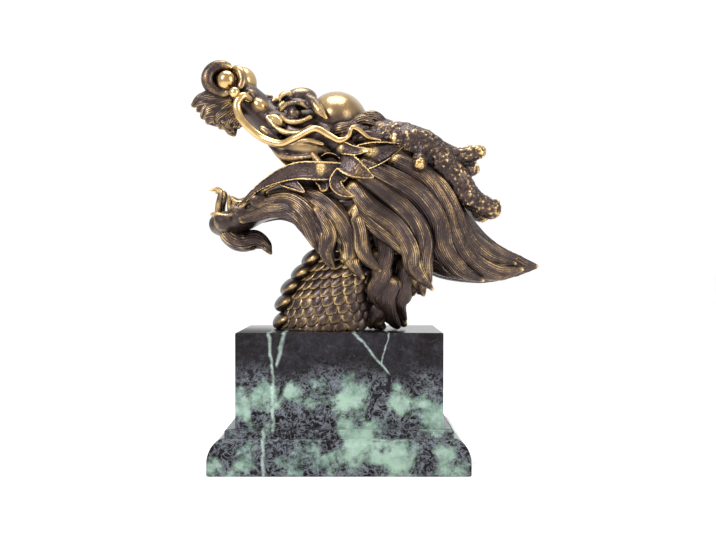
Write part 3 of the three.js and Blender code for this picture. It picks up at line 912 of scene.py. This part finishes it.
def marble():
    """Near-black stone with green clouds low down, pale threads and a few long veins."""
    f = Finish("green_marble")
    x, y, z = (f.axis(name) * TO_MM for name in "XYZ")
    warp = f.noise(scale=30.0, detail=5.0, rough=0.6)
    ripple = f.noise(scale=85.0, detail=4.0, rough=0.6)
    cloud = f.noise(scale=26.0, detail=7.0, rough=0.62, distort=1.0)
    speck = f.noise(scale=240.0, detail=5.0, rough=0.7)
    swirl_x = f.noise(scale=34.0).swing(CLOUD_SWIRL)
    swirl_z = f.noise(scale=31.0, rough=0.5, distort=0.7).swing(CLOUD_SWIRL)
    clouds = []
    for at_x, at_z, reach in GREEN_CLOUDS:
        off_x = x - at_x + swirl_x
        off_z = z - at_z + swirl_z
        clouds.append(1.0 - (off_x * off_x + off_z * off_z) ** 0.5 / (reach * CLOUD_REACH))
    front = (-FRONT_FROM - y).ramp(0.0, FRONT_FADE)
    low_half = (z + warp.swing(50.0)).ramp(GREEN_TOP, GREEN_FULL)
    placed = highest(clouds).max(0.0) * 0.6 * front
    green = placed + cloud.swing(1.7) + ripple.swing(1.2) + (low_half - 1.0) * 0.35
    green = green.ramp(0.06, 0.52)
    depth = f.noise(scale=38.0, detail=6.0, rough=0.6, distort=0.6).ramp(0.35, 0.65)
    base = f.mix(green, f.mix(depth, *STONE), f.mix(warp.ramp(0.35, 0.65), *LEAF))
    worm = f.noise(scale=135.0, rough=0.6, distort=1.4)
    long_worm = f.noise(scale=75.0, detail=4.0, rough=0.6, distort=1.0)
    threads = highest([1.0 - worm.swing(16.0).abs(), 1.0 - long_worm.swing(20.0).abs()]).max(0.0)
    threads = threads * speck.ramp(0.3, 0.6)
    base = f.mix(threads * (0.04 + 0.40 * low_half), base, THREAD)
    base = f.mix(speck.ramp(0.56, 0.75) * 0.35 * (0.15 + green), base, FLECK)
    bend = warp.swing(9.0)
    wave = ripple.swing(5.0)
    veins = []
    for at_x, at_z, lean, half, low, top in VEINS:
        line = x - at_x - (z - at_z) * lean + bend + wave
        held = z.ramp(low - 2.0, low + 4.0) * z.ramp(top + 2.0, top - 4.0)
        veins.append((1.0 - line.abs() / (half * VEIN_WIDTH)) * held)
    vein = highest(veins).max(0.0).ramp(0.0, 0.9) * (speck * 1.6 - 0.25).max(0.0)
    f.set(Base_Color=f.mix(vein.min(1.0) * 0.75, base, VEIN), Roughness=0.10 + 0.14 * speck)
    f.set(Metallic=0.0, Specular_IOR_Level=0.08)
    return f.material


def pale_floor():
    f = Finish("pale_floor")
    f.set(Base_Color=f.mix(f.noise(scale=6.0), *FLOOR), Roughness=0.8)
    return f.material


# ---------------------------------------------------------------- plinth


EDGE_STEPS = 3
SOFT_EDGE, SOFT_CORNER = 0.7, 0.8  # mm


def plinth_profile():
    """Heights and how far the stone stands out from the upright block, from the foot up."""
    p = PLINTH
    round_top = p["ledge"] - p["fillet_height"]
    profile = [(0, p["base"] - p["edge"])]
    for i in range(1, EDGE_STEPS + 1):
        angle = math.pi / 2 * i / EDGE_STEPS
        profile.append((p["edge"] * (1 - math.cos(angle)), p["base"] - p["edge"] * (1 - math.sin(angle))))
    for i in range(p["round_steps"] + 1):
        angle = math.pi / 2 * i / p["round_steps"]
        profile.append((p["foot"] + (round_top - p["foot"]) * math.sin(angle),
                        p["fillet"] + (p["base"] - p["fillet"]) * math.cos(angle)))
    ledge, top, soft = p["ledge"], p["top"], SOFT_EDGE
    profile += [(ledge - soft, p["fillet"]), (ledge, p["fillet"] - soft), (ledge, 0)]
    profile += [(top - soft, 0), (top - soft / 3, -soft / 3), (top, -soft)]
    return profile


def make_plinth(material):
    bm = bmesh.new()
    profile = plinth_profile()
    corners = [(-1, -1), (1, -1), (1, 1), (-1, 1)]
    z, out = profile[0]
    reach_x, reach_y = PLINTH["half_x"] + out, PLINTH["half_y"] + out
    ring = [bm.verts.new((a * reach_x, b * reach_y, z)) for a, b in corners]
    face = bm.faces.new(ring)
    for z, out in profile[1:]:
        # Only the first step keeps the face that it starts from, as the underside.
        made = bmesh.ops.extrude_face_region(bm, geom=[face], use_keep_orig=z == profile[1][0])["geom"]
        face = next(g for g in made if isinstance(g, bmesh.types.BMFace))
        for v in face.verts:
            v.co.x = math.copysign(PLINTH["half_x"] + out, v.co.x)
            v.co.y = math.copysign(PLINTH["half_y"] + out, v.co.y)
            v.co.z = z
    mitres = [e for e in bm.edges if all(a * b > 0 for a, b in zip(*(v.co.xy for v in e.verts)))]
    bmesh.ops.bevel(bm, geom=mitres, offset=SOFT_CORNER, offset_type="OFFSET", segments=3, profile=0.5,
                    affect="EDGES", material=-1)
    return finished(bm, "plinth_block", material)


# ---------------------------------------------------------------- wear, read from the shape, and painted shade


def arrays(mesh):
    """Places in mm, normals and edges of a mesh."""
    count = len(mesh.vertices)
    places = np.empty(count * 3)
    mesh.vertices.foreach_get("co", places)
    normals = np.empty(count * 3)
    mesh.vertices.foreach_get("normal", normals)
    edges = np.empty(len(mesh.edges) * 2, int)
    mesh.edges.foreach_get("vertices", edges)
    return places.reshape(-1, 3) / MM, normals.reshape(-1, 3), edges.reshape(-1, 2)


def eased(values, edges, count, rounds):
    """Each row moved towards the mean of its neighbours, again and again."""
    ends = np.concatenate([edges[:, 0], edges[:, 1]])
    others = np.concatenate([edges[:, 1], edges[:, 0]])
    degree = np.maximum(np.bincount(ends, minlength=count), 1)
    for _ in range(rounds):
        mean = np.stack([
            np.bincount(ends, values[others, k], minlength=count) / degree for k in range(values.shape[1])
        ], axis=1)
        values = 0.5 * values + 0.5 * mean
    return values


def mark(mesh, name, values):
    layer = mesh.attributes.new(name, "FLOAT", "POINT")
    layer.data.foreach_set("value", np.asarray(values, np.float32))


GRID_STEP, GRID_SPREAD = 1.6, 2.4  # mm
GRID_MARGIN, GRID_REACH = 4, 2.5  # in spreads: clear of the casting, and of the blur


def sheltered(places, normals, weights):
    """How far the metal around each point closes over it: above 0 in a hollow, below on a ridge."""
    low = places.min(axis=0) - GRID_MARGIN * GRID_SPREAD
    cell = np.rint((places - low) / GRID_STEP).astype(int)
    shape = cell.max(axis=0) + 8
    flat = np.ravel_multi_index(cell.T, shape)
    reach = int(GRID_REACH * GRID_SPREAD / GRID_STEP)
    kernel = np.exp(-0.5 * (np.arange(-reach, reach + 1) * GRID_STEP / GRID_SPREAD) ** 2)
    fields = []
    for value in (weights, *(weights * places[:, k] for k in range(3))):
        field = np.bincount(flat, value, minlength=int(np.prod(shape))).reshape(shape)
        for axis in range(3):
            field = sum(w * np.roll(field, k - reach, axis) for k, w in enumerate(kernel))
        fields.append(field.ravel()[flat])
    centre = np.stack(fields[1:], axis=1) / fields[0][:, None]
    return np.sum((centre - places) * normals, axis=1) / GRID_SPREAD


POLISHED = [  # middle of the near-flank spot, reach, amount
    ((-2, 0, 302), (32, 44, 24), 1.0),  # dome of the forehead
    ((-84, 6, 328), (17, 17, 15), 1.0),  # bridge
    ((-67, 20, 301), (8, 8, 6), 0.9),
    ((-52, 28, 287), (9, 8, 6), 0.9),
    ((-28, 44, 263), (20, 9, 7), 0.5),
    ((-34, 28, 312), (10, 11, 5), 0.5),
    ((24, 58, 258), (8, 9, 6), 0.9),  # spike
    ((-15, 54, 246), (4, 5, 8), 1.0),  # tusk
]
PAINTED_SHADE = [  # painted shade, where shade falls under the mane, the jaw, the ear and the horn: middle, reach, share of the wear that is missing
    ((40, 24, 138), (26, 60, 42), 0.75),  # hair behind the neck
    ((26, 44, 190), (22, 12, 20), 0.45),
    ((-64, 10, 205), (24, 26, 12), 0.45),  # under the jaw
    ((-22, 30, 196), (14, 30, 24), 0.35),
    ((50, 46, 244), (22, 14, 16), 0.5),  # below the ear and the horn
]


def spot(places, at, reach):
    """1 in the middle of a spot and its twin on the other flank, fading to 0 past its reach."""
    near = places * [1, 0, 1] + np.abs(places * [0, 1, 0])
    return np.clip(1.3 - np.linalg.norm((near - at) / reach, axis=1), 0, 1)


FINE_ROUNDS, BROAD_ROUNDS = 2, 12  # of easing, for edges and for rounded forms
PLAIN_GRAIN = 0.12


def age(pieces, polished, grained, rubbed):
    """Writes the crest, hollow, polish and grain of every vertex of the casting.

    bend is how sharply the mesh turns at a vertex and swell how roundly, both above 0 where it
    is proud; own is how sheltered the place is.
    """
    data = []
    for piece in pieces:
        places, normals, edges = arrays(piece.data)
        span = np.linalg.norm(places[edges[:, 0]] - places[edges[:, 1]], axis=1)
        count = len(places)
        degree = np.maximum(np.bincount(edges.ravel(), minlength=count), 1)
        spacing = np.bincount(edges.ravel(), np.repeat(span, 2), minlength=count) / degree
        data.append((piece, places, normals, edges, spacing))
    everywhere = np.concatenate([d[1] for d in data])
    shelter = sheltered(everywhere, np.concatenate([d[2] for d in data]),
                        np.concatenate([d[4] ** 2 for d in data]))
    start = 0
    for piece, places, normals, edges, spacing in data:
        count = len(places)
        near = eased(places, edges, count, FINE_ROUNDS)
        broad = eased(near, edges, count, BROAD_ROUNDS)
        bend = np.sum((places - near) * normals, axis=1) / spacing
        swell = np.sum((near - broad) * normals, axis=1) / spacing
        bend = eased(bend[:, None], edges, count, 1)[:, 0]
        own = shelter[start:start + count]
        start += count
        ridge = np.clip(-own * 2.2, 0, 1)
        sharp = np.clip(3.4 * bend, 0, 1)
        crest = sharp * (0.45 + 0.55 * ridge) + 0.35 * ridge + np.clip(0.9 * swell, 0, 0.7)
        crest *= rubbed.get(piece.name, 1.0)
        # painted shade: the gold wear is cut back in spots where shade falls, so they stay dark
        for at, reach, amount in PAINTED_SHADE:
            crest *= 1 - amount * spot(places, at, reach)
        mark(piece.data, "crest", crest)
        mark(piece.data, "hollow", np.clip(own * 1.3 - 3.0 * bend - 0.6 * swell, 0, 1))
        polish = np.zeros(count)
        for at, reach, amount in POLISHED:
            polish = np.maximum(polish, amount * spot(places, at, reach))
        if piece.name in polished:
            polish = np.full(count, polished[piece.name])
        mark(piece.data, "polish", polish)
        mark(piece.data, "grain", np.full(count, grained.get(piece.name, PLAIN_GRAIN)))


# ---------------------------------------------------------------- the object

bronze_finish = bronze()
casting = [
    make_head(bronze_finish),
    make_nostrils(bronze_finish),
    make_jaw(bronze_finish),
    make_teeth(bronze_finish),
    make_tongue(bronze_finish),
    make_goatee(bronze_finish),
    make_fur(bronze_finish),
    make_whiskers(bronze_finish),
    make_frills(bronze_finish),
    make_horns(bronze_finish),
    make_neck(bronze_finish),
    *make_mane(bronze_finish),
]
for piece in casting:
    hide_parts("dragon_bust")
age(
    casting,
    polished={"whiskers": 1.0, "nostrils": 0.9},
    grained={"horns": 1.0, "ears_and_frills": 0.8, "whiskers": 0.0},
    rubbed={"head": 0.62, "neck": 0.42, "teeth": 0.6, "tufts": 0.6, "lower_jaw": 0.7, "nape_fur": 0.5,
            "mane_near": 0.86, "mane_far": 0.86, "mane_core": 0.5, "horns": 0.8},
)
plinth = make_plinth(marble())
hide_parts("plinth")

# ---------------------------------------------------------------- floor, light and camera


FLOOR_REACH = 60.0  # m
LIT_POINT = Vector((0, 0, 0.2))
SKY_STRENGTH = 1.06
LENS, SENSOR = 57.5, 36.0  # mm
CAMERA_AT = (0.015, -0.980, 0.162)


def make_floor(material):
    bm = bmesh.new()
    bmesh.ops.create_grid(bm, x_segments=1, y_segments=1, size=FLOOR_REACH)
    mesh = bpy.data.meshes.new("floor")
    bm.to_mesh(mesh)
    bm.free()
    mesh.materials.append(material)
    floor = bpy.data.objects.new("floor", mesh)
    bpy.context.scene.collection.objects.link(floor)


def softbox(name, at, size, watts, tint=(1, 1, 1)):
    lamp = bpy.data.lights.new(name, "AREA")
    lamp.shape = "RECTANGLE"
    lamp.size, lamp.size_y = size
    lamp.energy = watts
    lamp.color = tint
    light = bpy.data.objects.new(name, lamp)
    light.location = at
    light.rotation_euler = (LIT_POINT - Vector(at)).to_track_quat("-Z", "Y").to_euler()
    bpy.context.scene.collection.objects.link(light)


make_floor(pale_floor())
softbox("key", (-0.8, -0.9, 0.9), (0.3, 0.5), 20, (0.93, 0.94, 1.0))
softbox("fill", (1.0, -0.7, 0.6), (0.4, 0.7), 11, (1.0, 0.97, 0.92))
softbox("top", (0.0, 0.1, 1.3), (0.8, 0.6), 16)

world = bpy.data.worlds.new("studio")
world.use_nodes = True
sky = world.node_tree.nodes["Background"]
sky.inputs["Color"].default_value = colour(1, 1, 1)
sky.inputs["Strength"].default_value = SKY_STRENGTH
bpy.context.scene.world = world
bpy.context.scene.view_settings.view_transform = "Standard"

lens = bpy.data.cameras.new("camera")
lens.lens = LENS
lens.sensor_width = SENSOR
camera = bpy.data.objects.new("camera", lens)
camera.location = CAMERA_AT
camera.rotation_euler = (math.pi / 2, 0, 0)
bpy.context.scene.collection.objects.link(camera)
bpy.context.scene.camera = camera
